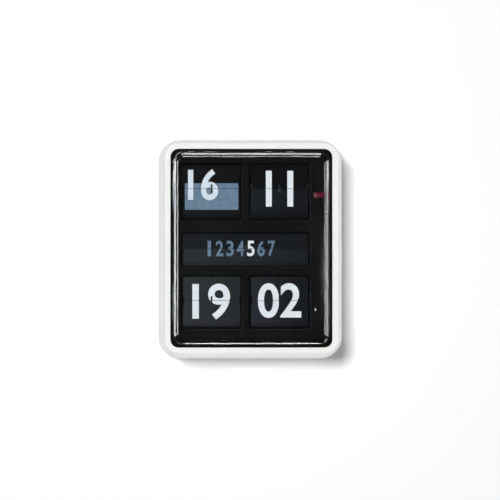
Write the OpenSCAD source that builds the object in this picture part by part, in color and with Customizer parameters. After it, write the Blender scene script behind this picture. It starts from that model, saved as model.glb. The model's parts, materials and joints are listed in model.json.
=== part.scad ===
// Wall-hung flip clock with a calendar: case, clear lens, black fascia with five windows, five drums
// of hinged leaves, a geared seconds drum, and setting buttons at the back.
// X runs to the right, Y runs back to the wall and Z runs up. Inside the modules Y = 0 is the wall
// plane and Z = 0 is the middle of the case; place() moves the origin to the hanging keyhole.

/* [Case] */
// Width of the case at the wall
case_w = 201.5; // [195:0.5:220]
// Height of the case at the wall
case_h = 240; // [232:0.5:260]
// Depth from the wall to the front rim
case_d = 92; // [88:0.5:110]
// How far each side draws in from the wall to the rim
case_taper = 10.2; // [6:0.1:14]
// Corner radius at the wall
corner_r = 24.5; // [20:0.5:30]
// Wall thickness
wall = 2.5; // [1.5:0.1:4]
// Width of the flat front rim
rim_w = 5.8; // [4:0.1:9]
// Thickness of the lip behind the rim
lip_t = 3; // [2:0.1:5]

/* [Lens] */
// How far the lens stands out of the rim
lens_proud = 3; // [2:0.5:10]
// Lens thickness
lens_t = 4; // [2:0.1:5]
// Radius of the lens edge
lens_edge_r = 4.5; // [3:0.5:5.5]
// Corner radius of the lens
lens_r = 12; // [8:0.5:14]
// Radius of the edge inside the lens
lens_inner_r = 2; // [1:0.5:3.5]
// Gap between lens and rim opening, filled by the bead of the seal
lens_gap = 2.4; // [1.5:0.1:2.4]
// Width of the lens flange behind the lip
flange_w = 3; // [2:0.1:3.4]
// Thickness of the lens flange
flange_t = 2; // [1:0.1:3]
// Thickness of the seal between flange and lip
seal_t = 0.8; // [0.5:0.1:1.5]
// How far the bead of the seal stays below the rim
bead_sink = 0.8; // [0.3:0.1:1.5]

/* [Display] */
// Depth of the plane of the leaves, from the wall
leaf_plane = 66; // [64:0.5:80]
// Distance between the two columns of leaves
column_pitch = 72; // [70:0.5:76]
// Middle of the two columns, measured from the middle of the case
block_x = -5.85; // [-8:0.05:-4]
// Height of the time row
time_z = 63.4; // [63:0.1:66]
// Height of the weekday row
weekday_z = 0; // [-1:0.1:1]
// Height of the calendar row
calendar_z = -55.2; // [-57:0.1:-55]
// Width of a leaf
leaf_w = 60.8; // [56:0.1:62]
// Height of a leaf from the split line to its free edge
leaf_h = 24.9; // [22:0.1:25.2]
// Height of a weekday leaf
weekday_leaf_h = 14.9; // [13:0.1:15.2]
// Thickness of a leaf
leaf_t = 0.08; // [0.06:0.01:0.1]
// Gap at the split line
split_gap = 0.3; // [0.2:0.05:0.5]
// Least gap between neighbouring leaves
pack_gap = 0.02; // [0.02:0.01:0.04]
// Radius of the corners at the free edge
leaf_corner_r = 1.5; // [0.5:0.1:3]
// Depth of the side notches that clear the pin wheels
notch_d = 1.5; // [1.2:0.1:2]
// Height of the notches from the split line
notch_h = 4.5; // [4.3:0.1:5.5]
// Width of the small notch at the catch
catch_notch_w = 1.4; // [1.2:0.1:2]
// Depth of the small notch at the catch
catch_notch_d = 0.8; // [0.6:0.1:1.2]

/* [Drums] */
// From the plane of the leaves back to the axles of the time and calendar rows
drum_d = 13.9; // [13.4:0.1:14.4]
// From the plane of the leaves back to the axle of the weekday row
weekday_drum_d = 7.95; // [7.45:0.05:8.45]
// How far a pin wheel reaches past the pivots
wheel_rim = 0.5; // [0.45:0.05:0.55]
// Radius of a leaf pin
pin_r = 0.3; // [0.25:0.01:0.32]
// Radial play of a leaf pin
pin_play = 0.05; // [0.04:0.01:0.06]
// Side play between a leaf and the pin wheels
wheel_play = 0.3; // [0.25:0.05:0.4]
// Radius of a drum hub
hub_r = 4; // [3:0.1:5]
// Radius of an axle
axle_r = 1.5; // [1:0.1:2]
// Radial play of a turning bore
run_play = 0.05; // [0.02:0.01:0.09]
// End play of a hub
end_play = 0.3; // [0.2:0.05:0.5]

/* [Fascia] */
// Thickness of the fascia
fascia_t = 2; // [1.5:0.1:3]
// Space from the plane of the leaves to the back of the fascia
fascia_gap = 2.5; // [2.3:0.1:4]
// Side margin of a window around its leaves
window_side = 1.7; // [1.3:0.1:2]
// Margin of a window above its leaves
window_top = 1.8; // [1.4:0.1:2.2]
// Window below the split line of the time row
time_window_low = 34.2; // [28:0.1:35]
// Window below the split line of the weekday row
weekday_window_low = 19.5; // [17:0.1:20]
// Window below the split line of the calendar row
calendar_window_low = 30.2; // [28:0.1:32]
// Corner radius of a window
window_r = 3; // [2:0.1:4]
// Bevel of a window edge
window_bevel = 0.7; // [0.4:0.1:1]
// Thickness of the fascia's side walls
skirt_t = 2; // [1.5:0.1:3]
// Width of the seconds slot
slot_w = 12.4; // [11:0.1:14]
// Height of the seconds slot
slot_h = 6.4; // [5:0.1:8]
// Radius of the lower corners of the seconds slot
slot_r = 2.4; // [1:0.1:2.5]
// Middle of the seconds slot, to the right
slot_x = 71.2; // [71:0.1:72]
// Middle of the seconds slot, upwards
slot_z = 56.7; // [56:0.1:58]
// Position of the fascia screw, to the right
fascia_screw_x = 68; // [67.9:0.1:70]
// Position of the fascia screw, upwards
fascia_screw_z = -64.6; // [-66:0.1:-63]

/* [Frame] */
// Thickness of the frame plates
plate_t = 1.5; // [1:0.1:2]
// From the leaves to the left plate
side_l = 7.25; // [7:0.05:8]
// From the leaves to the right plate
side_r = 4.05; // [4:0.05:4.5]
// Depth of the rear edge of the plates, from the wall
plate_back = 22; // [20:0.5:24]
// Radius of a tie rod
rod_r = 2; // [1.5:0.1:3]

/* [Drive] */
// Gear module
gear_m = 0.4; // [0.39:0.01:0.41]
// Radius of the seconds drum
seconds_r = 7.5; // [7:0.1:8]
// Radius of the seconds arbor
arbor_r = 1; // [0.8:0.1:1.2]
// Radius of the idler's fixed arbor
idler_pin_r = 0.7; // [0.6:0.05:0.75]

/* [Setting] */
// Radius of a button
button_r = 3; // [2.5:0.1:3.5]
// How far a button stands out of the rear cover
button_out = 3.3; // [3.2:0.1:3.6]
// Radial play of a button in the rear cover
button_play = 0.1; // [0.08:0.01:0.15]
// Tip radius of the ratchets on the time and calendar drums
ratchet_r = 11.5; // [11:0.1:12]
// Tip radius of the weekday ratchet
weekday_ratchet_r = 7; // [6.5:0.1:7.2]
// Gap between a pawl and its tooth
pawl_gap = 0.3; // [0.2:0.05:0.4]
// Thickness of a pawl
pawl_t = 0.6; // [0.5:0.05:0.7]

/* [Rear] */
// How far the rear cover is recessed from the wall
cover_recess = 4; // [3.8:0.1:6]
// Thickness of the rear cover
cover_t = 2.5; // [2:0.1:4]
// Height of the hanging keyhole above the middle
hang_z = 88; // [84:0.5:92]
// Radius of the round entry of the keyhole
keyhole_r = 4.5; // [4:0.1:6]
// Width of the keyhole's slot
keyhole_slot_w = 4.6; // [4:0.1:6]
// Length of the slot above the middle of the entry
keyhole_slot_l = 9; // [7:0.5:12]
// Battery diameter
cell_d = 26.2; // [26.2:0.1:26.4]
// Battery length without its nub
cell_l = 48.5; // [48:0.1:49]
// Fit between pieces that are put together
fit = 0.25; // [0.15:0.05:0.4]

/* [Hidden] */
$fn = 96;

white = [0.90, 0.90, 0.88];
black = [0.06, 0.06, 0.065];
charcoal = [0.16, 0.16, 0.17];
leaf_black = [0.12, 0.13, 0.14];
steel = [0.70, 0.71, 0.73];
dark_steel = [0.13, 0.13, 0.14];
brass = [0.80, 0.66, 0.36];
ivory = [0.86, 0.83, 0.74];
red = [0.78, 0.10, 0.10];

// Depths from the wall, growing towards the front
cover_front = cover_recess + cover_t;
lip_back = case_d - lip_t;
flange_front = lip_back - seal_t;
flange_back = flange_front - flange_t;
fascia_back = leaf_plane + fascia_gap;
fascia_front = fascia_back + fascia_t;
lens_front = case_d + lens_proud;

// Outlines
open_w = case_w - 2 * (case_taper + rim_w);
open_h = case_h - 2 * (case_taper + rim_w);
open_r = corner_r - case_taper - rim_w;
lens_w = open_w - 2 * lens_gap;
lens_h = open_h - 2 * lens_gap;
bead_play = 0.05;
skirt_in = drawn_in(flange_back) + wall + fit + 0.2;
skirt_w = case_w - 2 * skirt_in;
skirt_h = case_h - 2 * skirt_in;
skirt_r = corner_r - skirt_in;
cover_in = drawn_in(cover_front) + wall + fit;
cover_w = case_w - 2 * cover_in;
cover_h = case_h - 2 * cover_in;
boss_r = 4;
boss_l = 22;
boss_x = case_w / 2 - corner_r + 11.7;
boss_z = case_h / 2 - corner_r + 11.7;
pilot_r = 1.2;
shank_r = 1.5;
screw_head_r = 2.8;
fascia_head_r = 2;
screw_head_t = 1.8;
screw_l = 12;
recess_w = 0.8;
recess_d = 2.2;

// Columns and plates
col_l = block_x - column_pitch / 2;
col_r = block_x + column_pitch / 2;
plate_l_x = col_l - leaf_w / 2 - side_l;
plate_r_x = col_r + leaf_w / 2 + side_r;
plate_top = 98;
plate_low = -100;
mid_x = block_x - plate_t / 2;
wheel_t = notch_d - 2 * wheel_play;
slit = wheel_t / 2 + wheel_play;

// One unit: leaf count, pivot radius, leaf width, leaf height, middle, row, catches, and the left and
// right ends of its hub
U_N = 0;
U_R = 1;
U_W = 2;
U_H = 3;
U_X = 4;
U_Z = 5;
U_CATCH = 6;
U_LEFT = 7;
U_RIGHT = 8;
week_w = leaf_w + column_pitch;
hub_l = plate_l_x + end_play;
hub_r_x = plate_r_x - end_play;
hub_ml = mid_x - end_play;
hub_mr = mid_x + plate_t + end_play;
half_pitch = column_pitch / 2;
hour_u = unit(24, drum_d, leaf_w, leaf_h, col_l, time_z, [0], hub_l, hub_ml);
minute_u = unit(60, drum_d, leaf_w, leaf_h, col_r, time_z, [0], hub_mr, hub_r_x);
weekday_u = unit(28, weekday_drum_d, week_w, weekday_leaf_h, block_x, weekday_z,
    [-half_pitch, half_pitch], hub_l, hub_r_x);
date_u = unit(31, drum_d, leaf_w, leaf_h, col_l, calendar_z, [0], hub_l, hub_ml);
month_u = unit(24, drum_d, leaf_w, leaf_h, col_r, calendar_z, [0], hub_mr, hub_r_x);

// The pivots lie on a circle whose radius puts the shown leaves in the plane of the leaves
function unit(n, d, w, h, x, z, catches, left, right) = [n, d / cos(180 / n), w, h, x, z, catches, left,
    right];

function drawn_in(d) = case_taper * d / case_d;
function step(u) = 360 / u[U_N];
function split_rise(u) = u[U_R] * sin(step(u) / 2);
function axis_y(u) = -leaf_plane + u[U_R] * cos(step(u) / 2);
function full_tail(u) = split_rise(u) - split_gap / 2;
function leaf_space(u) = u[U_R] * (cos(step(u) / 2) - cos(1.5 * step(u)));
function pack_tail(u) = min(full_tail(u), (leaf_space(u) - leaf_t - pack_gap) / sin(step(u)));
function pivot_angle(u, j) = step(u) * (j + 0.5);
function lean(u, j) = min(j * step(u), 180);
function tail(u, j) = j == 0 ? full_tail(u) : pack_tail(u);

module place() {
    translate([0, cover_recess, -hang_z]) children();
}

// Draws in X and Z, with thickness growing from the wall to the front
module face_on(depth = 0) {
    translate([0, -depth, 0]) rotate([90, 0, 0]) children();
}

// Draws in Y and Z, with thickness growing to the right
module along_x(x = 0) {
    translate([x, 0, 0]) rotate([90, 0, 90]) children();
}

module rod_x(x0, x1, y, z, r) {
    along_x(x0) translate([y, z, 0]) cylinder(h = x1 - x0, r = r);
}

module rounded(w, h, r) {
    square([w - 2 * r, h], center = true);
    square([w, h - 2 * r], center = true);
    for (x = [-1, 1], y = [-1, 1])
        translate([x * (w / 2 - r), y * (h / 2 - r)]) circle(r);
}

// A block with rounded corners whose sides draw in by inset over its depth
module drawn_block(w, h, r, d, inset) {
    a = w / 2 - r;
    b = h / 2 - r;
    rotate([90, 0, 90]) linear_extrude(2 * a, center = true)
        polygon([[-h / 2, 0], [h / 2, 0], [h / 2 - inset, d], [inset - h / 2, d]]);
    for (s = [0, 180]) rotate([0, 0, s])
        translate([a, 0, 0]) rotate([90, 0, 0]) linear_extrude(2 * b, center = true)
            polygon([[0, 0], [r, 0], [r - inset, d], [0, d]]);
    corners(a, b) rotate_extrude(angle = 90) polygon([[0, 0], [r, 0], [r - inset, d], [0, d]]);
}

module corners(a, b) {
    translate([a, b, 0]) children();
    translate([-a, b, 0]) rotate([0, 0, 90]) children();
    translate([-a, -b, 0]) rotate([0, 0, 180]) children();
    translate([a, -b, 0]) rotate([0, 0, 270]) children();
}

// Half of the section of a block whose front edge is rounded
module dome_half(r, d, edge) {
    square([r, d - edge]);
    intersection() {
        union() {
            square([max(r - edge, 0.01), d]);
            translate([r - edge, d - edge]) circle(edge);
        }
        translate([0, d - edge - 0.01]) square([r, edge + 0.01]);
    }
}

module dome_section(w, d, edge) {
    for (s = [0, 1]) mirror([s, 0]) {
        square([w / 2 - edge, d]);
        translate([w / 2 - edge, 0]) dome_half(edge, d, edge);
    }
}

// A block with rounded corners and a rounded front edge
module dome_block(w, h, r, d, edge) {
    a = w / 2 - r;
    b = h / 2 - r;
    rotate([90, 0, 90]) linear_extrude(2 * a, center = true) dome_section(h, d, edge);
    for (s = [0, 180]) rotate([0, 0, s])
        translate([a, 0, 0]) rotate([90, 0, 0]) linear_extrude(2 * b, center = true)
            dome_half(r, d, edge);
    corners(a, b) rotate_extrude(angle = 90) dome_half(r, d, edge);
}

module case_shell() {
    cavity_d = lip_back;
    color(white) face_on() {
        difference() {
            drawn_block(case_w, case_h, corner_r, case_d, case_taper);
            drawn_block(case_w - 2 * wall, case_h - 2 * wall, corner_r - wall, cavity_d,
                drawn_in(cavity_d));
            translate([0, 0, lip_back - 1]) linear_extrude(lip_t + 2) rounded(open_w, open_h, open_r);
        }
        for (x = [-1, 1], z = [-1, 1])
            translate([x * boss_x, z * boss_z, cover_front]) difference() {
                cylinder(h = boss_l, r = boss_r);
                translate([0, 0, -1]) cylinder(h = boss_l - 3, r = pilot_r);
            }
    }
}

module lens() {
    w = lens_w - 2 * lens_t;
    h = lens_h - 2 * lens_t;
    d = lens_front - flange_back;
    color([0.85, 0.90, 0.92, 0.3]) face_on(flange_back) difference() {
        union() {
            dome_block(lens_w, lens_h, lens_r, d, lens_edge_r);
            linear_extrude(flange_t)
                rounded(open_w + 2 * flange_w, open_h + 2 * flange_w, open_r + flange_w);
        }
        translate([0, 0, -0.01])
            dome_block(w, h, lens_r - lens_t, d - lens_t + 0.01, lens_inner_r);
    }
}

// A flat ring between flange and lip, with a bead that fills the gap around the lens
module lens_seal() {
    p = 2 * bead_play;
    color(black) face_on(flange_front) difference() {
        union() {
            linear_extrude(seal_t)
                rounded(open_w + 2 * flange_w, open_h + 2 * flange_w, open_r + flange_w);
            linear_extrude(seal_t + lip_t - bead_sink) rounded(open_w - p, open_h - p, open_r - bead_play);
        }
        translate([0, 0, -1]) linear_extrude(seal_t + lip_t + 1)
            rounded(lens_w + p, lens_h + p, lens_r + bead_play);
    }
}

module window(u, low) {
    w = u[U_W] + 2 * window_side;
    h = u[U_H] + window_top + low;
    wide = 2 * window_bevel;
    translate([u[U_X], u[U_Z] + (u[U_H] + window_top - low) / 2, 0]) {
        translate([0, 0, -1]) linear_extrude(fascia_t + 2) rounded(w, h, window_r);
        translate([0, 0, fascia_t + 0.01]) mirror([0, 0, 1])
            drawn_block(w + wide, h + wide, window_r + window_bevel, window_bevel + 0.01, window_bevel);
    }
}

// The seconds slot has a square top and rounded lower corners
module slot() {
    rounded(slot_w, slot_h, slot_r);
    translate([-slot_w / 2, 0]) square([slot_w, slot_h / 2]);
}

module fascia() {
    color(black) face_on(fascia_back) {
        difference() {
            linear_extrude(fascia_t) rounded(skirt_w, skirt_h, skirt_r);
            window(hour_u, time_window_low);
            window(minute_u, time_window_low);
            window(weekday_u, weekday_window_low);
            window(date_u, calendar_window_low);
            window(month_u, calendar_window_low);
            translate([slot_x, slot_z, -1]) linear_extrude(fascia_t + 2) slot();
            translate([fascia_screw_x, fascia_screw_z, -1]) cylinder(h = fascia_t + 2, r = shank_r + 0.2);
            translate([fascia_screw_x, fascia_screw_z, fascia_t - screw_sink])
                cylinder(h = fascia_t, r = screw_head_r + 0.4);
        }
        translate([0, 0, fascia_t]) linear_extrude(flange_back - fascia_front) difference() {
            rounded(skirt_w, skirt_h, skirt_r);
            rounded(skirt_w - 2 * skirt_t, skirt_h - 2 * skirt_t, skirt_r - skirt_t);
        }
        translate([slot_x, slot_z + slot_h / 2 + 1.2, fascia_t]) linear_extrude(0.4)
            polygon([[-1.7, 3.2], [0, 0], [1.7, 3.2]]);
    }
}

screw_sink = 1.2;
tab_t = 1.4;

module fascia_screw() {
    color(steel) face_on(fascia_front - screw_sink) translate([fascia_screw_x, fascia_screw_z, 0]) {
        difference() {
            rotate_extrude() intersection() {
                translate([0, screw_head_t - 4]) circle(4);
                square([fascia_head_r, screw_head_t]);
            }
            translate([0, 0, screw_head_t]) cross_recess(fascia_head_r);
        }
        translate([0, 0, -4]) cylinder(h = 4, r = shank_r);
    }
}

// The drive of a screw head, cut by half its depth to each side of the head's top
module cross_recess(head_r) {
    arm = 1.3 * head_r;
    for (a = [0, 90]) rotate([0, 0, a]) cube([arm, recess_w, recess_d], center = true);
}

// A spring finger behind the fascia that holds the top edge of the standing leaf
module catch(u, x) {
    finger_w = 0.8;
    foot_w = 5;
    foot_t = 0.4;
    top = u[U_Z] + u[U_H];
    arm = top + 0.9;
    color(black) translate([u[U_X] + x, 0, 0]) {
        translate([-foot_w / 2, -fascia_back, arm]) cube([foot_w, foot_t, 6]);
        translate([-foot_w / 2, -fascia_back, arm]) cube([foot_w, fascia_gap + 0.2, foot_t]);
        translate([-finger_w / 2, -leaf_plane - 0.2, top - catch_notch_d + 0.3])
            cube([finger_w, 0.4, arm - top + catch_notch_d]);
    }
}

module leaf_catches() {
    for (u = [hour_u, minute_u, weekday_u, date_u, month_u], x = u[U_CATCH]) catch(u, x);
}

// Outline of a leaf about its pivot: X along the split line, Y to the free edge. Its pins stand on small
// tabs, a little away from the sides, so that they clear the leaf in front.
pin_tab = 0.2;
pin_root = 0.08;
function arc(x, y, r, a0, a1) = [for (i = [0:4]) let (a = a0 + (a1 - a0) * i / 4)
    [x + r * cos(a), y + r * sin(a)]];
function catch_points(c, top) = [[c + catch_notch_w / 2, top], [c + catch_notch_w / 2, top - catch_notch_d],
    [c - catch_notch_w / 2, top - catch_notch_d], [c - catch_notch_w / 2, top]];
function leaf_points(u, tail_l) = let (
    w = u[U_W] / 2,
    n = w - notch_d,
    rise = split_rise(u),
    top = u[U_H] - rise,
    up = notch_h - rise,
    c = leaf_corner_r,
    k = len(u[U_CATCH]))
    concat([[slit - pin_tab, -tail_l], [n + pin_tab, -tail_l], [n + pin_tab, pin_tab], [n, pin_tab],
            [n, up], [w, up]],
        arc(w - c, top - c, c, 0, 90),
        [for (i = [k - 1:-1:0], p = catch_points(u[U_CATCH][i], top)) p],
        arc(c - w, top - c, c, 90, 180),
        [[-w, up], [-n, up], [-n, pin_tab], [-n - pin_tab, pin_tab], [-n - pin_tab, -tail_l],
            [pin_tab - slit, -tail_l], [pin_tab - slit, pin_tab], [-slit, pin_tab], [-slit, up], [slit, up],
            [slit, pin_tab], [slit - pin_tab, pin_tab]]);

module leaf(u, j) {
    a = pivot_angle(u, j);
    n = u[U_W] / 2 - notch_d;
    l = notch_d - wheel_play / 2;
    pivot = [u[U_X], axis_y(u) - u[U_R] * cos(a), u[U_Z] + u[U_R] * sin(a)];
    color(leaf_black) translate(pivot) rotate([-lean(u, j), 0, 0]) {
        rotate([90, 0, 0]) linear_extrude(leaf_t, center = true) polygon(leaf_points(u, tail(u, j)));
        rod_x(n + pin_root, n + l, 0, 0, pin_r);
        rod_x(-n - l, -n - pin_root, 0, 0, pin_r);
        rod_x(pin_root - slit, slit - pin_root, 0, 0, pin_r);
    }
}

module leaf_pack(u) {
    for (j = [1:u[U_N] - 1]) leaf(u, j);
}

module pin_wheel(u) {
    linear_extrude(wheel_t) difference() {
        circle(u[U_R] + wheel_rim);
        circle(axle_r + run_play);
        for (j = [0:u[U_N] - 1])
            translate(polar(u[U_R], 180 - pivot_angle(u, j))) circle(pin_r + pin_play);
    }
}

module drum(u) {
    e = u[U_W] / 2 - notch_d / 2;
    color(black) {
        for (x = [-e, 0, e])
            along_x(u[U_X] + x - wheel_t / 2) translate([axis_y(u), u[U_Z], 0]) pin_wheel(u);
        along_x(u[U_LEFT]) translate([axis_y(u), u[U_Z], 0]) linear_extrude(u[U_RIGHT] - u[U_LEFT])
            difference() {
                circle(hub_r);
                circle(axle_r + run_play);
            }
    }
}

// Ratchet teeth whose square faces are pushed forwards at the top
ratchet_t = 1.6;
function tooth_h(r) = r * 0.14;
function bite(r) = r - tooth_h(r) * 0.45;
function travel(u, r) = (r + bite(r)) * sin(step(u) / 2);
function polar(r, a) = [r * cos(a), r * sin(a)];
function saw(n, r) = [for (i = [0:n - 1], k = [0, 1])
    polar(r - (1 - k) * tooth_h(r), 90 + 360 / n * (i - 0.5))];

module ratchet(u, r, x) {
    color(dark_steel) along_x(x) translate([axis_y(u), u[U_Z], 0]) linear_extrude(ratchet_t) difference() {
        polygon(saw(u[U_N], r));
        circle(hub_r);
    }
}

ratchet_l = col_l - leaf_w / 2 - 2 - ratchet_t;
ratchet_r_x = plate_r_x - 1 - ratchet_t;

// A setting button: cap, collar, pawl arm and pawl
arm_w = 1.4;
arm_h = 3;
collar_r = 4.2;
collar_t = 2;
guide_t = 1.5;

module button(u, r, x) {
    z = u[U_Z] + r + 0.6 + arm_h / 2;
    tip = axis_y(u) + r * sin(step(u) / 2) + pawl_gap;
    collar = cover_front + 0.3;
    arm_back = -collar - collar_t;
    color(ivory) translate([x + ratchet_t / 2, 0, 0]) {
        face_on(cover_recess - button_out) translate([0, z, 0])
            cylinder(h = collar - cover_recess + button_out, r = button_r);
        face_on(collar) translate([0, z, 0]) cylinder(h = collar_t, r = collar_r);
        translate([-arm_w / 2, tip, z - arm_h / 2]) cube([arm_w, arm_back - tip, arm_h]);
        translate([-arm_w / 2, tip, u[U_Z] + bite(r)]) cube([arm_w, pawl_t, z - u[U_Z] - bite(r)]);
    }
}

// A coil spring between a button's collar and the guide on the frame
spring_r = 2.6;
wire_r = 0.25;
turns = 5;

function ring(i, n, r, y0, l) = let (a = 360 * turns * i / n)
    [for (k = [0:5]) let (q = r + wire_r * cos(60 * k))
        [q * cos(a), y0 + l * i / n + wire_r * sin(60 * k), q * sin(a)]];

module button_spring(u, r, x) {
    y0 = -plate_back + wire_r + 0.02;
    l = plate_back - cover_front - 0.3 - collar_t - 2 * wire_r - 0.04;
    n = turns * 16;
    points = [for (i = [0:n], p = ring(i, n, spring_r, y0, l)) p];
    sides = [for (i = [0:n - 1], k = [0:5]) let (m = (k + 1) % 6)
        [i * 6 + k, i * 6 + m, i * 6 + 6 + m, i * 6 + 6 + k]];
    ends = [[5, 4, 3, 2, 1, 0], [for (k = [0:5]) n * 6 + k]];
    color(steel) translate([x + ratchet_t / 2, 0, u[U_Z] + r + 0.6 + arm_h / 2])
        polyhedron(points, concat(sides, ends), convexity = 10);
}

// A guide tab on a frame plate, with a hole for a pawl arm
module guide(u, r, x, plate_x) {
    z = u[U_Z] + r + 0.6 + arm_h / 2;
    mid = x + ratchet_t / 2;
    reach = 4;
    x0 = min(plate_x, mid - reach);
    x1 = max(plate_x, mid + reach);
    difference() {
        translate([x0, -plate_back - guide_t, z - 5]) cube([x1 - x0, guide_t, 10]);
        translate([mid - arm_w / 2 - 0.3, -plate_back - guide_t - 1, z - arm_h / 2 - 0.3])
            cube([arm_w + 0.6, guide_t + 2, arm_h + 0.6]);
    }
}

// Frame
rods = [[-18, time_z], [-18, calendar_z], [-40, plate_top - 5], [-40, plate_low + 5]];
leg_h = 14;
leg_top = 78;
leg_low = -92;
foot_l = 9;
foot_x = [plate_l_x - plate_t - foot_l / 2, plate_r_x + plate_t + foot_l / 2];

module plate_blank() {
    translate([-fascia_back, plate_low]) square([fascia_back - plate_back, plate_top - plate_low]);
    for (z = [time_z, calendar_z]) translate([-plate_back - 1, z - 6]) square([12, 12]);
    for (z = [leg_top, leg_low])
        translate([-plate_back - 1, z]) square([plate_back + 1 - cover_front, leg_h]);
}

module plate_holes(play) {
    for (u = [hour_u, weekday_u, date_u]) translate([axis_y(u), u[U_Z]]) circle(axle_r + play);
    for (p = rods) translate(p) circle(shank_r);
}

// Feet turned out at the rear ends of the legs
module feet(x) {
    for (z = [leg_top, leg_low]) difference() {
        translate([x, -cover_front - plate_t, z]) cube([foot_l, plate_t, leg_h]);
        face_on(cover_front - 1) translate([x + foot_l / 2, z + leg_h / 2, 0])
            cylinder(h = plate_t + 2, r = pilot_r);
    }
}

module frame_plate_left() {
    color(dark_steel) {
        along_x(plate_l_x - plate_t) linear_extrude(plate_t) difference() {
            plate_blank();
            plate_holes(0);
        }
        feet(plate_l_x - plate_t - foot_l);
        guide(hour_u, ratchet_r, ratchet_l, plate_l_x);
        guide(weekday_u, weekday_ratchet_r, ratchet_l, plate_l_x);
        guide(date_u, ratchet_r, ratchet_l, plate_l_x);
    }
}

tab_w = 9;

module frame_plate_right() {
    color(dark_steel) {
        along_x(plate_r_x) linear_extrude(plate_t) difference() {
            plate_blank();
            plate_holes(0);
            translate(seconds_c) circle(arbor_r + run_play);
            translate(idler_c) circle(gear_m * 10 / 2 + 0.9);
            for (p = standoffs) translate(p) circle(pilot_r);
            translate([-fascia_back - 1, slot_z - slot_h / 2 - 1]) square([1.9 + fascia_gap, slot_h + 2]);
        }
        feet(plate_r_x + plate_t);
        guide(month_u, ratchet_r, ratchet_r_x, plate_r_x);
        difference() {
            translate([plate_r_x + plate_t, -fascia_back, fascia_screw_z - 5]) cube([tab_w, tab_t, 10]);
            face_on(fascia_back - tab_t - 1) translate([fascia_screw_x, fascia_screw_z, 0])
                cylinder(h = tab_t + 2, r = shank_r);
        }
    }
}

module frame_plates_middle() {
    color(dark_steel) for (i = [0, 1]) let (u = [hour_u, date_u][i])
        along_x(mid_x) linear_extrude(plate_t) difference() {
            translate([axis_y(u) - 6, u[U_Z] - 6]) square([rods[i][0] + 12 - axis_y(u), 12]);
            translate([axis_y(u), u[U_Z]]) circle(axle_r);
            translate(rods[i]) circle(rod_r);
        }
}

module tie_rods() {
    color(dark_steel) for (p = rods) difference() {
        rod_x(plate_l_x, plate_r_x, p[0], p[1], rod_r);
        rod_x(plate_l_x - 1, plate_l_x + 8, p[0], p[1], pilot_r);
        rod_x(plate_r_x - 8, plate_r_x + 1, p[0], p[1], pilot_r);
    }
}

// A pan-head screw about the origin, shank up
module screw(l, r) {
    difference() {
        rotate_extrude() intersection() {
            translate([0, 4 - screw_head_t]) circle(4);
            translate([0, -screw_head_t]) square([screw_head_r, screw_head_t]);
        }
        translate([0, 0, -screw_head_t]) cross_recess(screw_head_r);
    }
    translate([0, 0, -0.01]) cylinder(h = l, r = r);
}

module frame_screws() {
    color(steel) {
        for (p = rods) {
            along_x(plate_l_x - plate_t) translate([p[0], p[1], 0]) screw(7, pilot_r);
            along_x(plate_r_x + plate_t) translate([p[0], p[1], 0]) mirror([0, 0, 1]) screw(7, pilot_r);
        }
        for (x = foot_x, z = [leg_top, leg_low])
            face_on(cover_recess) translate([x, z + leg_h / 2, 0]) screw(cover_t + plate_t + 1, pilot_r);
    }
}

module axle(u) {
    color(steel) rod_x(plate_l_x - plate_t - 1, plate_r_x + plate_t, axis_y(u), u[U_Z], axle_r);
}

// Drive. Tooth numbers: seconds pinion and idler pinion, idler wheel, minute gear
pinion_n = 10;
wheel_n = 80;
minute_n = 75;
drive_a = gear_m * (pinion_n + wheel_n) / 2;
drive_b = gear_m * (pinion_n + minute_n) / 2;
seconds_c = [-fascia_back + seconds_r + 0.7, slot_z];
minute_c = [axis_y(minute_u), time_z];
gap_v = minute_c - seconds_c;
gap_l = norm(gap_v);
along = (drive_a * drive_a - drive_b * drive_b + gap_l * gap_l) / (2 * gap_l);
aside = sqrt(drive_a * drive_a - along * along);
idler_c = seconds_c + gap_v * along / gap_l + [gap_v[1], -gap_v[0]] * aside / gap_l;
to_idler = idler_c - seconds_c;
mesh_a = atan2(to_idler[1], to_idler[0]);
to_minute = minute_c - idler_c;
mesh_b = atan2(to_minute[1], to_minute[0]);
seconds_x0 = plate_r_x + plate_t + 0.5;
seconds_x1 = seconds_x0 + 10.8;
pinion_x0 = seconds_x1 + 0.2;
pinion_l = 3;
module_x = pinion_x0 + pinion_l + 0.4;
module_t = 8;
gear_t = 1.5;
minute_gear_x = plate_r_x - 1.1 - gear_t;
module_rim = 4;
module_drop = 18;
module_rise = 10;
module_y0 = seconds_c[0] - module_rim - 1;
module_y1 = -plate_back;
module_z0 = idler_c[1] - module_drop;
module_z1 = time_z + module_rise;
standoff_top = module_z1 - module_rim;
standoff_low = module_z0 + module_rim;
standoff_y = module_y1 - module_rim - 1;
standoffs = [[module_y0 + module_rim, standoff_top - 1], [standoff_y, standoff_top],
    [standoff_y, standoff_low]];

// Thick is half a tooth at the pitch circle, as a share of the pitch
function gear_points(n, add, ded, thick, tip, root) = let (p = 360 / n, r = gear_m * n / 2)
    [for (i = [0:n - 1], k = [[-root, -ded], [-1, 0], [-tip, add], [tip, add], [1, 0], [root, -ded]])
        polar(r + k[1] * gear_m, p * (i + k[0] * thick))];

module gear(n) {
    if (n == pinion_n) polygon(gear_points(n, 0.55, 1.15, 0.17, 0.5, 0.95));
    else polygon(gear_points(n, 0.80, 0.95, 0.20, 0.35, 1.15));
}

module seconds_drum() {
    color(red) along_x(seconds_x0) translate(seconds_c) linear_extrude(seconds_x1 - seconds_x0)
        difference() {
            circle(seconds_r);
            circle(arbor_r);
        }
}

module seconds_arbor() {
    color(steel) rod_x(plate_r_x + 0.1, module_x + 3, seconds_c[0], seconds_c[1], arbor_r);
}

module seconds_pinion() {
    color(brass) along_x(pinion_x0) translate(seconds_c) rotate(mesh_a) linear_extrude(pinion_l)
        difference() {
            gear(pinion_n);
            circle(arbor_r);
        }
}

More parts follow.
